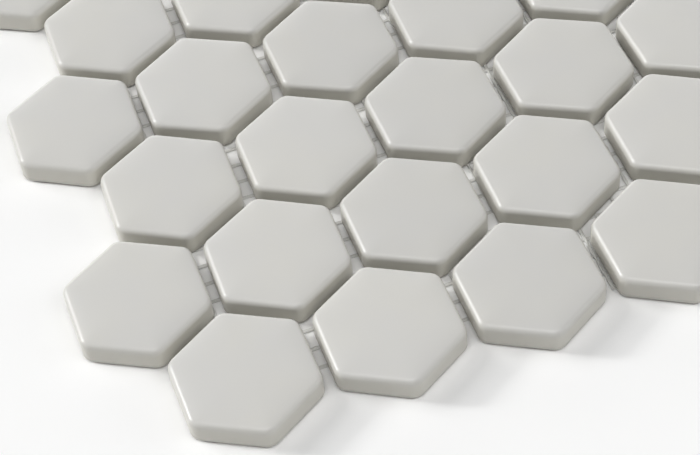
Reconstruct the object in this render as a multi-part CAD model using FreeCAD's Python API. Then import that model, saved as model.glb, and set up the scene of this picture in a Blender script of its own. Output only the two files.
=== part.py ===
import FreeCAD, Part

import itertools
import math
import os
import random

# Hexagon floor tile, as sold: small porcelain hexagons bonded face up to a glass fibre net.
# Millimetres. +X runs along the close rows, +Y across them, +Z out of the glazed faces.
# The origin is under the middle of the sheet, in the plane that is laid on the floor.

# Tile
tile_across_flats = 23.0
tile_thickness = 5.0
edge_drop = 1.3            # the upright sides end this far under the middle of the face
shoulder_drop = 0.55       # the rounded edge ends here and the soft fall of the face begins
shoulder_inset = 0.4       # that far in from the sides
crown_inset = 2.4          # from here inwards the face is flat
corner_flat_setback = 0.8  # how far an upright corner is taken back along each of its two sides

# Layout of the sheet
joint_width = 2.0
tiles_per_row = 12
row_count = 12

# Tiles are set by hand or machine: each sits a little off its place, within these limits
place_error = 0.2          # along X and along Y
turn_error = 1.1           # degrees
placing_seed = 11

# Net: two layers of flat glass fibre strands, one laid on the other
strand_width = 0.8
strand_thickness = 0.2
strand_pitch = 4.0
net_setback = 1.2          # in from the outer edges of the outermost tiles
shortest_strand = 24.0     # anything shorter comes away when the net is trimmed

corner_angles = [30 + 60 * corner for corner in range(6)]
tile_pitch = tile_across_flats + joint_width
row_pitch = tile_pitch * math.cos(math.radians(30))
net_thickness = 2 * strand_thickness
sharp_corners = 2          # the way that an offset outline turns its corners


def hexagon_corners(across_flats):
    """Corners of a hexagon with flat sides facing +X and -X, anticlockwise."""
    to_corner = across_flats / 2 / math.cos(math.radians(30))
    turns = [math.radians(angle) for angle in corner_angles]
    return [FreeCAD.Vector(to_corner * math.cos(a), to_corner * math.sin(a), 0) for a in turns]


def closed_wire(points):
    return Part.makePolygon(points + points[:1])


def tile_outline(inset, height):
    """The tile's outline at one height, drawn in by inset, with its six corners taken off."""
    corners = hexagon_corners(tile_across_flats - 2 * inset)
    points = []
    for place, corner in enumerate(corners):
        for neighbour in (corners[place - 1], corners[(place + 1) % len(corners)]):
            along = (neighbour - corner).normalize()
            points.append(corner + along * corner_flat_setback + FreeCAD.Vector(0, 0, height))
    return points


def make_tile():
    """One pressed tile: upright sides, the rounded edge, then the soft rise to the flat of the face."""
    outlines = [
        tile_outline(0, 0),
        tile_outline(0, tile_thickness - edge_drop),
        tile_outline(shoulder_inset, tile_thickness - shoulder_drop),
        tile_outline(crown_inset, tile_thickness),
    ]
    flats = [outlines[0], outlines[-1]]
    for lower, upper in zip(outlines, outlines[1:]):
        for place in range(len(lower)):
            flats.append([lower[place - 1], lower[place], upper[place], upper[place - 1]])
    skin = Part.makeShell([Part.Face(closed_wire(points)) for points in flats])
    skin.sewShape()
    return Part.makeSolid(skin)


def tile_centres():
    """Rows of tile centres. Every second row starts half a pitch further on."""
    rows = []
    for row in range(row_count):
        start = tile_pitch / 2 if row % 2 == 0 else 0
        rows.append([(start + tile_pitch * place, row_pitch * row) for place in range(tiles_per_row)])
    return rows


def lay_tiles(rows):
    """One compound of tiles for each row, each tile a little off its place and turn."""
    hand = random.Random(placing_seed)
    pattern = make_tile()
    laid = []
    for centres in rows:
        tiles = []
        for x, y in centres:
            off_x = hand.uniform(-place_error, place_error)
            off_y = hand.uniform(-place_error, place_error)
            turn = FreeCAD.Rotation(FreeCAD.Vector(0, 0, 1), hand.uniform(-turn_error, turn_error))
            tile = pattern.copy()
            tile.Placement = FreeCAD.Placement(FreeCAD.Vector(x + off_x, y + off_y, net_thickness), turn)
            tiles.append(tile)
        laid.append(Part.makeCompound(tiles))
    return laid


def net_area(rows):
    """The area of the net: every tile with its share of the joints, drawn in all round the sheet."""
    cell = Part.Face(closed_wire(hexagon_corners(tile_pitch)))
    cells = []
    for centres in rows:
        for x, y in centres:
            one = cell.copy()
            one.translate(FreeCAD.Vector(x, y, 0))
            cells.append(one)
    whole = cells[0].multiFuse(cells[1:]).removeSplitter()
    return whole.Faces[0].makeOffset2D(-joint_width / 2 - net_setback, join=sharp_corners)


def stretches_inside(area, start, end):
    """Where a straight line runs inside the area, as distances from its start."""
    inside = area.common(Part.makeLine(start, end)).Edges
    ends = [[vertex.Point.distanceToPoint(start) for vertex in edge.Vertexes] for edge in inside]
    return [(min(pair), max(pair)) for pair in ends]


def lay_strands(area, along_rows, height):
    """One layer of parallel strands with one through the middle, cut square where the area ends."""
    box = area.BoundBox
    forward = FreeCAD.Vector(1, 0, 0) if along_rows else FreeCAD.Vector(0, 1, 0)
    sideways = FreeCAD.Vector(0, 1, 0) if along_rows else FreeCAD.Vector(1, 0, 0)
    length, spread = (box.XLength, box.YLength) if along_rows else (box.YLength, box.XLength)
    count = int(spread / 2 // strand_pitch)
    strands = []
    for step in range(-count, count + 1):
        start = box.Center - forward * (length / 2) + sideways * (strand_pitch * step)
        edges = [start - sideways * (strand_width / 2), start + sideways * (strand_width / 2)]
        near_edge, far_edge = [stretches_inside(area, edge, edge + forward * length) for edge in edges]
        for near, far in itertools.product(near_edge, far_edge):
            first, last = max(near[0], far[0]), min(near[1], far[1])
            if last - first >= shortest_strand:
                size = forward * (last - first) + sideways * strand_width
                corner = edges[0] + forward * first + FreeCAD.Vector(0, 0, height)
                strands.append(Part.makeBox(size.x, size.y, strand_thickness, corner))
    return Part.makeCompound(strands)


def main():
    rows = tile_centres()
    area = net_area(rows)
    nodes = {
        "net_strands_along_rows": lay_strands(area, True, 0),
        "net_strands_across_rows": lay_strands(area, False, strand_thickness),
    }
    for number, tiles in enumerate(lay_tiles(rows), start=1):
        nodes[f"tile_row_{number:02d}"] = tiles
    middle = Part.makeCompound(list(nodes.values())).BoundBox.Center
    os.makedirs("parts", exist_ok=True)
    for name, shape in nodes.items():
        shape.translate(FreeCAD.Vector(-middle.x, -middle.y, 0))
        shape.exportStep(f"parts/{name}.step")


main()
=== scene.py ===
import math

import bmesh
import bpy
import numpy as np
from mathutils import Matrix, Vector, noise


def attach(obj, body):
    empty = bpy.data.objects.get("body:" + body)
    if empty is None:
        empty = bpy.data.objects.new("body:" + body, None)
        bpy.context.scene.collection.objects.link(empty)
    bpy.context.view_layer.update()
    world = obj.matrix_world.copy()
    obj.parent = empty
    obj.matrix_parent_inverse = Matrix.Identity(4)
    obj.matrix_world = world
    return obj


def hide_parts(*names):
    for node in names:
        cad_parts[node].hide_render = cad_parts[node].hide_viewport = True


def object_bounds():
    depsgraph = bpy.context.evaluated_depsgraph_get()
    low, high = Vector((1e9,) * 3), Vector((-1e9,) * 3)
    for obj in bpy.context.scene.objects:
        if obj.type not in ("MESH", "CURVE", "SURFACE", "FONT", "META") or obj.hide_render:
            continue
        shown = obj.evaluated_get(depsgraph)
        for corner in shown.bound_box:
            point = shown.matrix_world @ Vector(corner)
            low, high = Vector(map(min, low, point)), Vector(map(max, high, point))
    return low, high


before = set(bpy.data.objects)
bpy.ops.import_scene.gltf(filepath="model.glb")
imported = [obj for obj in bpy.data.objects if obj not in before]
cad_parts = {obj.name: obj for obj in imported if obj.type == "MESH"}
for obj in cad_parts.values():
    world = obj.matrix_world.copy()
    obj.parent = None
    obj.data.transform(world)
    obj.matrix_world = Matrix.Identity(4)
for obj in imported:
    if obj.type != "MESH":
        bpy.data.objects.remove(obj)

cad_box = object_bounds()

# Everything is in metres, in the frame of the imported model.
MM = 0.001

# Reading the tiles and strands from the frame
WELD = 0.001 * MM             # corners nearer than this are one corner
FOOT_BAND = 0.01 * MM         # corners this near to the lowest one lie in a tile's back

# Tile. An inset is a distance in from the tile's sides
ROUNDING_IN = 0.8 * MM        # how far the rounding reaches in over the face
ROUNDING_DOWN = 0.85 * MM     # how far it reaches down the side
ROUNDING_STEPS = 9
FOOT_ROUNDING = 0.25 * MM
FOOT_STEPS = 3
FOOT_SUPPORT = 1.6            # inset of the ring that keeps the back flat, in roundings of the foot
CROWN_DROP = 0.66 * MM        # how far the crowned face has fallen where it meets the sides
CROWN_WIDTH = 2.4 * MM        # over each such distance inwards, that fall shrinks to 0.37 of itself
CROWN_RINGS = (0.35, 0.8, 1.3, 1.9, 2.6, 3.4, 4.3, 5.4)  # mm in from the rounding
FLAT_RINGS = (0.65, 0.85)     # insets in the flat of the face, as shares of the half width
SIDE_RINGS = (0.3, 0.7, 0.93)  # shares of the upright side's height
BACK_RING = 1.0 * MM          # inset of a ring on the back
BACK_RING_INNER = 0.55        # inset of the innermost one, as a share of the half width
CORNER_RADIUS_SIDE = 2.4 * MM
CORNER_RADIUS_FACE = 1.5 * MM
CORNER_LIMIT = 0.8            # largest radius of a corner, as a share of its ring's half width
POINTS_ON_SIDE = 6
POINTS_ON_CORNER = 7

# Slight waves of a pressed and glazed tile
EDGE_WAVE = 0.07 * MM
EDGE_WAVE_LENGTH = 7.0 * MM
EDGE_WAVE_UPRIGHT = 0.5       # how fast it changes up the side, with 1 for along it
EDGE_WAVE_GROWTH = 4          # power by which it grows from the middle of the tile to the sides
EDGE_NOISE_STEP = (3.7, 1.3, 0.0)  # shift of the noise from one tile to the next
FACE_WAVE = 0.02 * MM
FACE_WAVE_LENGTH = 9.8 * MM
FACE_NOISE_STEP = (0.0, 2.1, 5.3)

# Net
YARN_STEP = 2.0 * MM          # from ring to ring along a yarn
FLAT_STRAND_SIDES = 8
TWISTED_YARN_SIDES = 5
STRAND_WANDER = 0.12 * MM
STRAND_WANDER_LENGTH = 9.0 * MM
STRAND_SWELL = 0.12           # share of the width
STRAND_SWELL_LENGTH = 2.5 * MM
FLAT_WANDER_NOISE = (4.1, 0.0)  # shift of the noise from one strand to the next, and its layer
FLAT_SWELL_NOISE = (7.7, 3.0)
TWISTED_WANDER_NOISE = (5.3, 9.0)
TWIST_PITCH = 8.0 * MM        # the length in which the two yarns turn once about each other
TWIST_START = 45              # degrees

# One yarn of a twisted strand, in shares of the strand's width and height
YARN_WIDTH = 0.5
YARN_HEIGHT = 0.7
YARN_SWING = 0.24             # how far its middle swings to each side
YARN_RISE = 0.14              # how far it rises and sinks

# Camera, fitted to the edges of the tiles in the photograph
CAMERA_PLACE = Vector((-157.9, -296.1, 252.2)) * MM
CAMERA_AZIMUTH = 14.8         # degrees, from +Y towards +X
CAMERA_DOWN = 50.3            # degrees below the horizon
CAMERA_ROLL = -6.3
CAMERA_LENS = 96.5            # mm
CAMERA_SENSOR = 36            # mm wide
CAMERA_NEAREST = 0.01         # m

# Colours, linear
GLAZE = (0.592, 0.586, 0.565)
GLAZE_WARM = (0.602, 0.594, 0.563)
GLAZE_SIDE = (0.595, 0.580, 0.527)  # thinner glaze, with the warmer body showing through
BISQUE = (0.560, 0.545, 0.500)
YARN = (0.745, 0.743, 0.720)
# The second yarn colour is painted shade, put in the dips between the fibres
YARN_PAINTED_SHADE = (0.605, 0.603, 0.580)
FLOOR = (0.950, 0.950, 0.945)
BACKGROUND = (0.960, 0.960, 0.957)

# Glaze and bare clay. Heights are above the floor
SIDE_TINT_TOP = 4.9 * MM
SIDE_TINT_FULL = 3.4 * MM
CLOUD_SIZE = 14.0 * MM        # of the slightly warmer clouds
TILE_TONES = (0.97, 1.045)    # darkest and lightest tile
GLAZE_END = 1.3 * MM          # the glaze begins to thin out
GLAZE_GONE = 0.9 * MM         # nothing is left of it
GLAZE_END_RAGGED = 0.25 * MM  # how far its edge strays up and down
GLAZE_END_SIZE = 2.5 * MM
GLAZE_ROUGHNESS = (0.29, 0.33)
GLAZE_ROUGHNESS_SIZE = 4.0 * MM
BISQUE_ROUGHNESS = 0.75
PEEL_SIZE = 1.6 * MM          # the soft unevenness of a fired glaze
PEEL_DEPTH = 0.005 * MM
GRAIN_SIZE = 0.25 * MM        # its fine satin grain
GRAIN_DEPTH = 0.001 * MM

# Yarn
FIBRE_SIZE = 0.12 * MM
FIBRE_DEPTH = 0.03 * MM
GLUE_SIZE = 3.0 * MM          # of the patches of glue
GLUE_COVER = 0.5              # how much of the painted shade between the fibres the thickest glue hides
GLUE_ROUGHNESS = 0.45
YARN_ROUGHNESS = 0.8

# Noise values between these become 0 to 1. The narrower range gives clearer patches
NOISE_SPREAD = (0.3, 0.7)
PATCH_SPREAD = (0.35, 0.65)

# Floor
FLOOR_HALF = 6.0              # m
FLOOR_ROUGHNESS = 0.9
FLOOR_SPECULAR = 0.1
BACKGROUND_REACH = 0.06       # m. Over each such distance outwards its own look shrinks to 0.37

# Lamps stand round the part of the sheet that the camera sees and face it
LAMP_TARGET = Vector((-0.10, -0.10, 0.0))
LAMPS = (
    # name, azimuth from +Y towards +X and height above the floor in degrees,
    # distance, width and height of the lamp itself in m, power in W
    ("window", 300, 22, 2.40, 0.30, 0.30, 28.0),
    ("window_glow", 315, 36, 2.40, 1.00, 0.90, 19.2),
    ("ceiling", 195, 75, 1.20, 0.60, 0.60, 4.5),
    ("wall_right_top", 135, 52, 1.20, 0.65, 0.50, 3.2),
    ("wall_right", 110, 28, 1.20, 0.50, 0.45, 2.0),
    ("wall_left_near", 225, 45, 0.50, 0.30, 0.25, 0.23),
    ("wall_behind", 0, 11, 1.20, 0.85, 0.40, 2.5),
    ("wall_behind_right", 45, 11, 1.20, 0.85, 0.40, 1.4),
)

QUARTER_TURN = math.radians(90)
SIXTH_TURN = math.radians(60)
CORNERS = 6


def islands(node):
    """Corner points of each separate solid in a CAD node, as one array for each."""
    mesh = bmesh.new()
    mesh.from_mesh(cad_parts[node].data)
    bmesh.ops.remove_doubles(mesh, verts=mesh.verts, dist=WELD)
    left = set(mesh.verts)
    found = []
    while left:
        stack = [left.pop()]
        island = []
        while stack:
            vert = stack.pop()
            island.append(vert.co[:])
            for edge in vert.link_edges:
                other = edge.other_vert(vert)
                if other in left:
                    left.remove(other)
                    stack.append(other)
        found.append(np.array(island))
    mesh.free()
    return found


def direction(angle):
    """Level unit vector at this angle from +X."""
    return np.array([math.cos(angle), math.sin(angle)])


def tile_places(node):
    """Centre, turn, half width, foot and top of each tile in a row, read from the frame."""
    places = []
    for points in islands(node):
        foot = points[points[:, 2] < points[:, 2].min() + FOOT_BAND]
        centre = foot[:, :2].mean(0)
        flat = foot[:, :2] - centre
        turned = (flat[:, 0] + 1j * flat[:, 1]) ** CORNERS
        turn = np.angle(-turned.sum()) / CORNERS
        half_width = (flat @ direction(turn)).max()
        places.append((centre, turn, half_width, points[:, 2].min(), points[:, 2].max()))
    return sorted(places, key=lambda place: place[0][0])


def rounded_hexagon(half_width, corner_radius):
    """Points round a hexagon with flat sides facing +X and -X and rounded corners."""
    reach = (half_width - corner_radius) / math.cos(SIXTH_TURN / 2)

    def on_corner(corner, share):
        """A point on a corner's arc, which runs from share -0.5 to share 0.5."""
        middle = SIXTH_TURN * (corner + 0.5)
        return direction(middle) * reach + direction(middle + SIXTH_TURN * share) * corner_radius

    points = []
    for corner in range(CORNERS):
        for step in range(POINTS_ON_CORNER):
            points.append(on_corner(corner, step / (POINTS_ON_CORNER - 1) - 0.5))
        side_start = points[-1]
        side_end = on_corner(corner + 1, -0.5)
        for step in range(1, POINTS_ON_SIDE):
            points.append(side_start + (side_end - side_start) * step / POINTS_ON_SIDE)
    return np.array(points)


def crown_fall(inset):
    """How far the crowned face lies under its middle."""
    return CROWN_DROP * math.exp(-inset / CROWN_WIDTH)


def tile_levels(half_width, foot, top):
    """Inset and height of each ring of points, from the back round the edges to the face."""
    levels = [
        (BACK_RING_INNER * half_width, foot),
        (BACK_RING, foot),
        (FOOT_ROUNDING * FOOT_SUPPORT, foot),
        (FOOT_ROUNDING, foot),
    ]
    for step in range(1, FOOT_STEPS + 1):
        angle = QUARTER_TURN * step / FOOT_STEPS
        inset = FOOT_ROUNDING * (1 - math.sin(angle))
        levels.append((inset, foot + FOOT_ROUNDING * (1 - math.cos(angle))))
    side_foot = foot + FOOT_ROUNDING
    side_top = top - CROWN_DROP - ROUNDING_DOWN
    for share in SIDE_RINGS:
        levels.append((0.0, side_foot + (side_top - side_foot) * share))
    for step in range(ROUNDING_STEPS + 1):
        angle = QUARTER_TURN * step / ROUNDING_STEPS
        inset = ROUNDING_IN * (1 - math.cos(angle))
        levels.append((inset, top - ROUNDING_DOWN * (1 - math.sin(angle)) - crown_fall(inset)))
    for further in CROWN_RINGS:
        inset = ROUNDING_IN + further * MM
        levels.append((inset, top - crown_fall(inset)))
    for share in FLAT_RINGS:
        levels.append((half_width * share, top))
    return levels


def tile_rings(half_width, foot, top):
    """Rings of points from the middle of the back, round the edges, to the middle of the face."""
    rings = []
    for inset, height in tile_levels(half_width, foot, top):
        to_face = min(inset / ROUNDING_IN, 1) if height > foot + FOOT_ROUNDING else 0
        radius = CORNER_RADIUS_SIDE + (CORNER_RADIUS_FACE - CORNER_RADIUS_SIDE) * to_face
        radius = min(radius, (half_width - inset) * CORNER_LIMIT)
        outline = rounded_hexagon(half_width - inset, radius)
        rings.append(np.column_stack([outline, np.full(len(outline), height)]))
    return rings


def tile_pattern(half_width, foot, top):
    """Points and faces of one tile about its own middle."""
    rings = tile_rings(half_width, foot, top)
    count = len(rings[0])
    points = np.vstack([[[0, 0, foot]]] + rings + [[[0, 0, top]]])
    last = len(points) - 1
    faces = [(0, 1 + (i + 1) % count, 1 + i) for i in range(count)]
    for ring in range(len(rings) - 1):
        low = 1 + ring * count
        high = low + count
        for i in range(count):
            j = (i + 1) % count
            faces.append((low + i, low + j, high + j, high + i))
    top_ring = 1 + (len(rings) - 1) * count
    faces += [(last, top_ring + i, top_ring + (i + 1) % count) for i in range(count)]
    return points, faces


def tile_noise(place, length, shift, seed):
    """Smooth noise from -1 to 1 on one tile, with waves of this length."""
    return noise.noise(Vector(place) / length + Vector([seed * part for part in shift]))


def uneven(points, seed, half_width, top):
    """The same points with a pressed and glazed tile's slight waves, never outside its outline."""
    moved = points.copy()
    for n, (x, y, z) in enumerate(points):
        reach = math.hypot(x, y)
        if reach == 0:
            continue
        wave = tile_noise((x, y, z * EDGE_WAVE_UPRIGHT), EDGE_WAVE_LENGTH, EDGE_NOISE_STEP, seed)
        share = min(reach / half_width, 1) ** EDGE_WAVE_GROWTH
        inward = EDGE_WAVE * share * (1 + wave) / 2
        moved[n, 0] -= x / reach * inward
        moved[n, 1] -= y / reach * inward
        if z > top - CROWN_DROP - ROUNDING_DOWN:
            dip = tile_noise((x, y, 0), FACE_WAVE_LENGTH, FACE_NOISE_STEP, seed)
            moved[n, 2] -= FACE_WAVE * (1 + dip)
    return moved


def new_piece(name, points, faces, material):
    """A smooth shaded mesh in the scene."""
    mesh = bpy.data.meshes.new(name)
    mesh.from_pydata([tuple(p) for p in points], [], faces)
    mesh.polygons.foreach_set("use_smooth", [True] * len(mesh.polygons))
    mesh.materials.append(material)
    mesh.update()
    piece = bpy.data.objects.new(name, mesh)
    bpy.context.scene.collection.objects.link(piece)
    return piece


def joined(name, parts, material):
    """One piece from many lists of points and faces."""
    points = []
    faces = []
    start = 0
    for part_points, part_faces in parts:
        points.append(part_points)
        faces += [tuple(start + corner for corner in face) for face in part_faces]
        start += len(part_points)
    return new_piece(name, np.vstack(points), faces, material)


def make_tiles(glaze):
    """One piece for each row, with a detailed tile where each plain one lies."""
    seed = 0
    for node in sorted(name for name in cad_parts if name.startswith("tile_row_")):
        parts = []
        for centre, turn, half_width, foot, top in tile_places(node):
            seed += 1
            points, faces = tile_pattern(half_width, foot, top)
            points = uneven(points, seed, half_width, top)
            cos, sin = direction(turn)
            spun = points[:, :2] @ np.array([[cos, sin], [-sin, cos]]) + centre
            parts.append((np.column_stack([spun, points[:, 2]]), faces))
        piece = joined(f"glazed_{node}", parts, glaze)
        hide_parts(node)
        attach(piece, "root")


def tube(path, widths, heights, sides):
    """Points and faces of a closed tube along a level path. Its section is a flattened round."""
    points = []
    faces = []
    for n, place in enumerate(path):
        ahead = path[min(n + 1, len(path) - 1)] - path[max(n - 1, 0)]
        ahead = ahead / np.linalg.norm(ahead)
        across = np.array([-ahead[1], ahead[0], 0.0])
        for side in range(sides):
            angle = 2 * math.pi * side / sides
            ring_across = across * math.cos(angle) * widths[n] / 2
            ring_up = np.array([0, 0, math.sin(angle) * heights[n] / 2])
            points.append(place + ring_across + ring_up)
    for n in range(len(path) - 1):
        low = n * sides
        high = low + sides
        for side in range(sides):
            other = (side + 1) % sides
            faces.append((low + side, low + other, high + other, high + side))
    faces.append(tuple(reversed(range(sides))))
    faces.append(tuple(range((len(path) - 1) * sides, len(path) * sides)))
    return np.array(points), faces


def strands_in_order(node, axis):
    """Lowest and highest corner of each strand in a net node, in the order of that axis."""
    ends = [(points.min(0), points.max(0)) for points in islands(node)]
    return sorted(ends, key=lambda corners: corners[0][axis])


def strand_noise(place, length, shift_and_layer, seed):
    """Smooth noise from -1 to 1 along one strand, with waves of this length."""
    shift, layer = shift_and_layer
    return noise.noise(Vector((place / length, seed * shift, layer)))


def make_flat_strands(node, yarn):
    """Strands along the rows: flat bundles of fibres that lie under the others."""
    parts = []
    for seed, (low, high) in enumerate(strands_in_order(node, 1)):
        width, height = (high - low)[1:]
        middle_y, middle_z = (low + high)[1:] / 2
        steps = int((high[0] - low[0]) / YARN_STEP)
        path = []
        widths = []
        for x in np.linspace(low[0], high[0], steps + 1):
            wander = strand_noise(x, STRAND_WANDER_LENGTH, FLAT_WANDER_NOISE, seed)
            swell = strand_noise(x, STRAND_SWELL_LENGTH, FLAT_SWELL_NOISE, seed)
            path.append(np.array([x, middle_y + STRAND_WANDER * wander, middle_z]))
            widths.append(width * (1 + STRAND_SWELL * swell))
        parts.append(tube(path, widths, [height] * len(path), FLAT_STRAND_SIDES))
    piece = joined("woven_strands_along_rows", parts, yarn)
    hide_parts(node)
    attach(piece, "root")


def make_twisted_strands(node, yarn):
    """Strands across the rows: pairs of yarns that cross each other between the flat strands."""
    parts = []
    for seed, (low, high) in enumerate(strands_in_order(node, 0)):
        width, height = (high - low)[[0, 2]]
        middle_x, middle_z = (low + high)[[0, 2]] / 2
        steps = int((high[1] - low[1]) / YARN_STEP)
        for side in (-1, 1):
            path = []
            for y in np.linspace(low[1], high[1], steps + 1):
                wander = strand_noise(y, STRAND_WANDER_LENGTH, TWISTED_WANDER_NOISE, seed)
                turn = 2 * math.pi * y / TWIST_PITCH + math.radians(TWIST_START)
                swing = side * math.sin(turn) * width * YARN_SWING
                x = middle_x + STRAND_WANDER * wander + swing
                z = middle_z + side * math.cos(turn) * height * YARN_RISE
                path.append(np.array([x, y, z]))
            widths = [width * YARN_WIDTH] * len(path)
            heights = [height * YARN_HEIGHT] * len(path)
            parts.append(tube(path, widths, heights, TWISTED_YARN_SIDES))
    piece = joined("woven_strands_across_rows", parts, yarn)
    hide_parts(node)
    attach(piece, "root")


class Nodes:
    """Short ways to add and join shader nodes in one material or world."""

    def __init__(self, owner, shader="Principled BSDF"):
        owner.use_nodes = True
        self.owner = owner
        self.tree = owner.node_tree
        self.shader = self.tree.nodes[shader]

    def add(self, kind, inputs=None, **settings):
        """A new node with these settings, and these values or links in its inputs."""
        node = self.tree.nodes.new(kind)
        for key, value in settings.items():
            setattr(node, key, value)
        for key, value in (inputs or {}).items():
            self.put(node.inputs[key], value)
        return node

    def put(self, socket, value):
        """Links another socket to this one, or writes a plain value in it."""
        if isinstance(value, bpy.types.NodeSocket):
            self.tree.links.new(value, socket)
        elif isinstance(value, (tuple, list)) and socket.type == "RGBA":
            socket.default_value = (*value, 1.0)
        else:
            socket.default_value = value

    def where(self):
        """Place on the piece, in the frame of the model."""
        return self.add("ShaderNodeTexCoord").outputs["Object"]

    def noise(self, size, detail):
        """Noise whose lumps are about this size, in metres."""
        inputs = {"Vector": self.where(), "Scale": 1 / size, "Detail": detail}
        return self.add("ShaderNodeTexNoise", inputs).outputs["Fac"]

    def spread(self, value, low, high, to_low=0.0, to_high=1.0):
        """Moves the range from low to high to another, and holds values outside it at its ends."""
        inputs = {
            "Value": value,
            "From Min": low,
            "From Max": high,
            "To Min": to_low,
            "To Max": to_high,
        }
        return self.add("ShaderNodeMapRange", inputs).outputs["Result"]

    def math(self, operation, first, second=0.0):
        return self.add("ShaderNodeMath", {0: first, 1: second}, operation=operation).outputs[0]

    def vector_math(self, operation, *inputs):
        return self.add("ShaderNodeVectorMath", dict(enumerate(inputs)), operation=operation)

    def outside(self, half_x, half_y):
        """Distance from a rectangle round the origin, and 0 inside it."""
        place = self.vector_math("ABSOLUTE", self.where()).outputs["Vector"]
        past = self.vector_math("SUBTRACT", place, (half_x, half_y, 0)).outputs["Vector"]
        past = self.vector_math("MAXIMUM", past, (0, 0, 0)).outputs["Vector"]
        return self.vector_math("LENGTH", past).outputs["Value"]

    def mix(self, share, first, second, blend_type="MIX"):
        """Mixes two colours."""
        node = self.add("ShaderNodeMix", data_type="RGBA", blend_type=blend_type)
        self.put(node.inputs["Factor"], share)
        self.put(node.inputs[6], first)
        self.put(node.inputs[7], second)
        return node.outputs[2]

    def mix_numbers(self, share, first, second):
        node = self.add("ShaderNodeMix", data_type="FLOAT")
        self.put(node.inputs["Factor"], share)
        self.put(node.inputs[2], first)
        self.put(node.inputs[3], second)
        return node.outputs[0]

    def bump(self, height, depth, before=None):
        """Normal of a bumpy surface, on top of an earlier bump if there is one."""
        inputs = {"Height": height, "Distance": depth, "Strength": 1.0}
        if before is not None:
            inputs["Normal"] = before
        return self.add("ShaderNodeBump", inputs).outputs["Normal"]

    def only_seen(self):
        """1 for rays by which a thing is seen, mirrored ones too, and 0 for those that light one."""
        path = self.add("ShaderNodeLightPath").outputs
        mirrored = self.math("MAXIMUM", path["Is Glossy Ray"], path["Is Transmission Ray"])
        return self.math("MAXIMUM", path["Is Camera Ray"], mirrored)

    def set(self, **values):
        """Inputs of the shader that the material or world came with."""
        for key, value in values.items():
            self.put(self.shader.inputs[key.replace("_", " ")], value)

    def finish(self, share, other):
        """Ends the material or world in its own shader with this share of the other one."""
        mixed = self.add("ShaderNodeMixShader", {0: share, 1: self.shader.outputs[0], 2: other})
        output = next(node for node in self.tree.nodes if node.type.startswith("OUTPUT"))
        self.put(output.inputs["Surface"], mixed.outputs[0])


def glaze_material():
    """Satin glaze, warmer in soft clouds and where it is thin, over an unglazed foot and back."""
    n = Nodes(bpy.data.materials.new("satin_glaze"))
    clouds = n.spread(n.noise(CLOUD_SIZE, 3.0), *PATCH_SPREAD)
    glaze = n.mix(clouds, GLAZE, GLAZE_WARM)
    tile = n.add("ShaderNodeNewGeometry").outputs["Random Per Island"]
    tone = n.spread(tile, 0.0, 1.0, *TILE_TONES)
    grey = n.add("ShaderNodeCombineColor", {"Red": tone, "Green": tone, "Blue": tone})
    toned = n.mix(1.0, glaze, grey.outputs["Color"], blend_type="MULTIPLY")
    height = n.add("ShaderNodeSeparateXYZ", {"Vector": n.where()}).outputs["Z"]
    thin = n.spread(height, SIDE_TINT_TOP, SIDE_TINT_FULL)
    glazed = n.mix(thin, toned, GLAZE_SIDE)
    stray = n.noise(GLAZE_END_SIZE, 3.0)
    ragged = n.spread(stray, *NOISE_SPREAD, -GLAZE_END_RAGGED, GLAZE_END_RAGGED)
    bare = n.spread(n.math("ADD", height, ragged), GLAZE_END, GLAZE_GONE)
    n.set(Base_Color=n.mix(bare, glazed, BISQUE))
    gloss = n.spread(n.noise(GLAZE_ROUGHNESS_SIZE, 3.0), *NOISE_SPREAD, *GLAZE_ROUGHNESS)
    n.set(Roughness=n.mix_numbers(bare, gloss, BISQUE_ROUGHNESS))
    peel = n.bump(n.noise(PEEL_SIZE, 2.0), PEEL_DEPTH)
    n.set(Normal=n.bump(n.noise(GRAIN_SIZE, 3.0), GRAIN_DEPTH, peel))
    return n.owner


def yarn_material():
    """White glass fibre yarn stiffened with glue: fine fibres along it with painted shade in the
    dips between them, and glossier patches.
    """
    n = Nodes(bpy.data.materials.new("glass_fibre_yarn"))
    fibres = n.noise(FIBRE_SIZE, 4.0)
    glue = n.spread(n.noise(GLUE_SIZE, 3.0), *PATCH_SPREAD)
    # Painted shade: darker where the fibre noise is low, in the same dips that the bump sinks, and
    # lighter on the raised fibres
    shaded = n.mix(n.spread(fibres, *NOISE_SPREAD), YARN_PAINTED_SHADE, YARN)
    n.set(Base_Color=n.mix(n.spread(glue, 0.0, 1.0, 0.0, GLUE_COVER), shaded, YARN))
    n.set(Roughness=n.spread(glue, 0.0, 1.0, YARN_ROUGHNESS, GLUE_ROUGHNESS))
    n.set(Normal=n.bump(fibres, FIBRE_DEPTH))
    return n.owner


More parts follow.
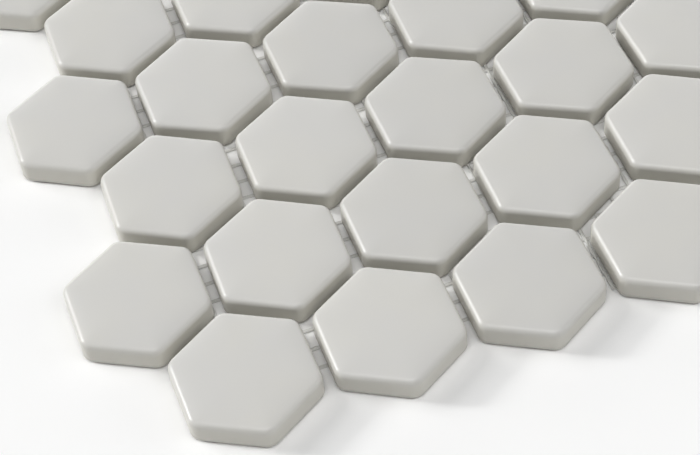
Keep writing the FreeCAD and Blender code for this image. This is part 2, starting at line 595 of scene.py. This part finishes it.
def floor_material():
    """Pale floor that keeps the sheet's shadow and fades into the plain background round it."""
    n = Nodes(bpy.data.materials.new("plain_floor"))
    n.set(Base_Color=FLOOR)
    n.set(Roughness=FLOOR_ROUGHNESS)
    n.set(Specular_IOR_Level=FLOOR_SPECULAR)
    distance = n.outside(cad_box[1][0], cad_box[1][1])
    own_look = n.math("EXPONENT", n.math("DIVIDE", distance, -BACKGROUND_REACH))
    faded = n.math("SUBTRACT", 1.0, own_look)
    plain = n.add("ShaderNodeEmission", {"Color": BACKGROUND}).outputs[0]
    n.finish(n.math("MULTIPLY", faded, n.only_seen()), plain)
    return n.owner


def make_floor():
    signs = ((-1, -1), (1, -1), (1, 1), (-1, 1))
    corners = [(FLOOR_HALF * x, FLOOR_HALF * y, 0) for x, y in signs]
    floor = new_piece("floor", corners, [(0, 1, 2, 3)], floor_material())


def make_lamp(name, azimuth, height, distance, width, tall, power):
    turn = math.radians(azimuth)
    lift = math.radians(height)
    level = math.cos(lift)
    towards = Vector((math.sin(turn) * level, math.cos(turn) * level, math.sin(lift)))
    light = bpy.data.lights.new(name, "AREA")
    light.shape = "RECTANGLE"
    light.size = width
    light.size_y = tall
    light.energy = power
    lamp = bpy.data.objects.new(name, light)
    lamp.location = LAMP_TARGET + towards * distance
    lamp.rotation_euler = (-towards).to_track_quat("-Z", "Y").to_euler()
    bpy.context.scene.collection.objects.link(lamp)


def make_light():
    """The lamps, and a world that shows a plain background but lights nothing."""
    for lamp in LAMPS:
        make_lamp(*lamp)
    n = Nodes(bpy.data.worlds.new("studio"), "Background")
    n.set(Strength=0.0)
    plain = n.add("ShaderNodeBackground", {"Color": BACKGROUND}).outputs[0]
    n.finish(n.only_seen(), plain)
    bpy.context.scene.world = n.owner


def make_camera():
    data = bpy.data.cameras.new("camera")
    data.lens = CAMERA_LENS
    data.sensor_width = CAMERA_SENSOR
    data.clip_start = CAMERA_NEAREST
    camera = bpy.data.objects.new("camera", data)
    turn = Matrix.Rotation(math.radians(-CAMERA_AZIMUTH), 4, "Z")
    tilt = Matrix.Rotation(math.radians(90 - CAMERA_DOWN), 4, "X")
    roll = Matrix.Rotation(math.radians(CAMERA_ROLL), 4, "Z")
    camera.matrix_world = Matrix.Translation(CAMERA_PLACE) @ turn @ tilt @ roll
    bpy.context.scene.collection.objects.link(camera)
    bpy.context.scene.camera = camera


make_tiles(glaze_material())
yarn = yarn_material()
make_flat_strands("net_strands_along_rows", yarn)
make_twisted_strands("net_strands_across_rows", yarn)
make_floor()
make_light()
make_camera()
bpy.context.scene.view_settings.view_transform = "Standard"
